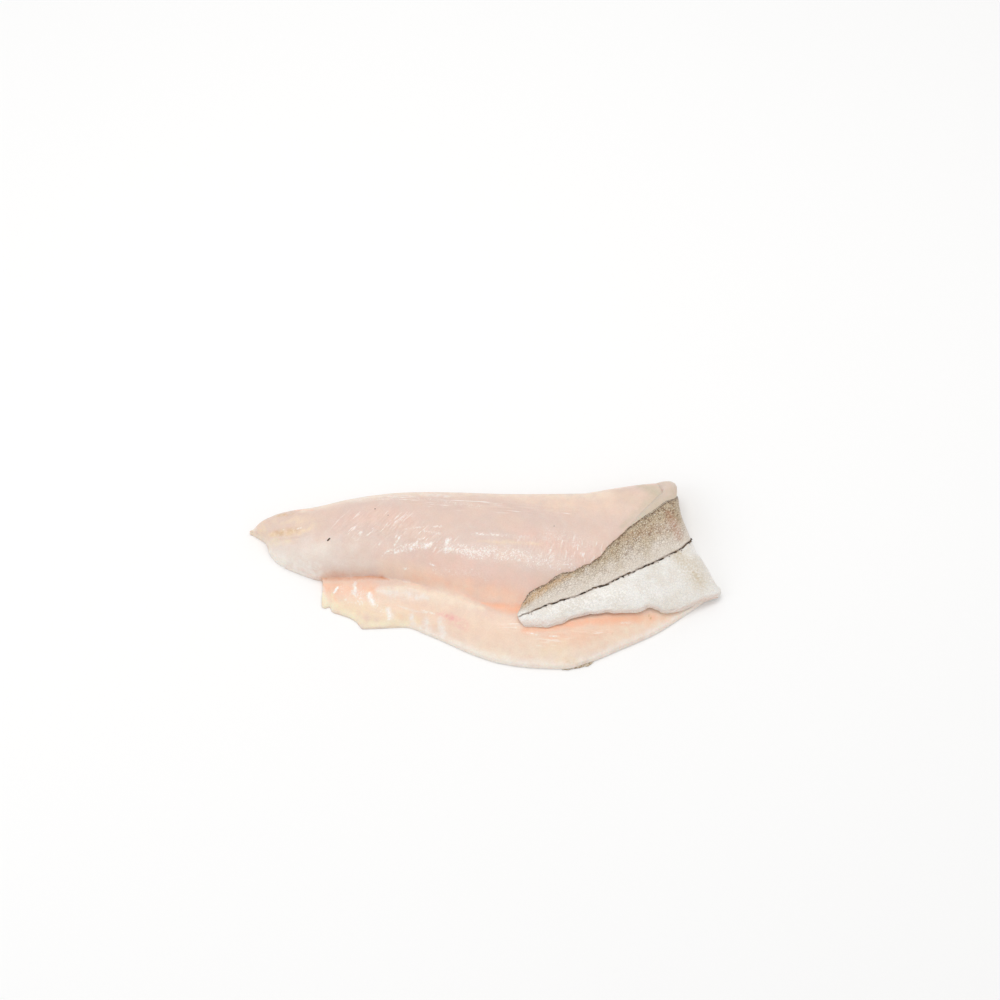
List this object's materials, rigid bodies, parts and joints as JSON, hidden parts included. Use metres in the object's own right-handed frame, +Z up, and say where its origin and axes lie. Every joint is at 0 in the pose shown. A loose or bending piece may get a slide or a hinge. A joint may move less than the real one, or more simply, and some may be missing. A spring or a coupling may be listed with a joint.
{
  "type": "haddock fillet",
  "caption": "Raw skin-on haddock fillet lying flesh side up, with its thin tail end folded back over the top so that the silver-grey skin shows.",
  "frame": {"origin": "on the surface that the fillet lies on, under the middle of its bounding box", "axes": "+X from the head end towards the fold at the tail end, +Y from the belly edge towards the back edge, +Z up"},
  "size_m": [0.2336, 0.106, 0.0233],
  "materials": {
    "flesh": "wet, slightly translucent raw fish flesh, pinkish white with fine muscle streaks, orange-pink in the hollows",
    "skin": "wet scaled skin, speckled grey-brown above a black lateral line and silver-white below it"
  },
  "bodies": {
    "root": {"fillet": "flesh"}
  },
  "joints": []
}
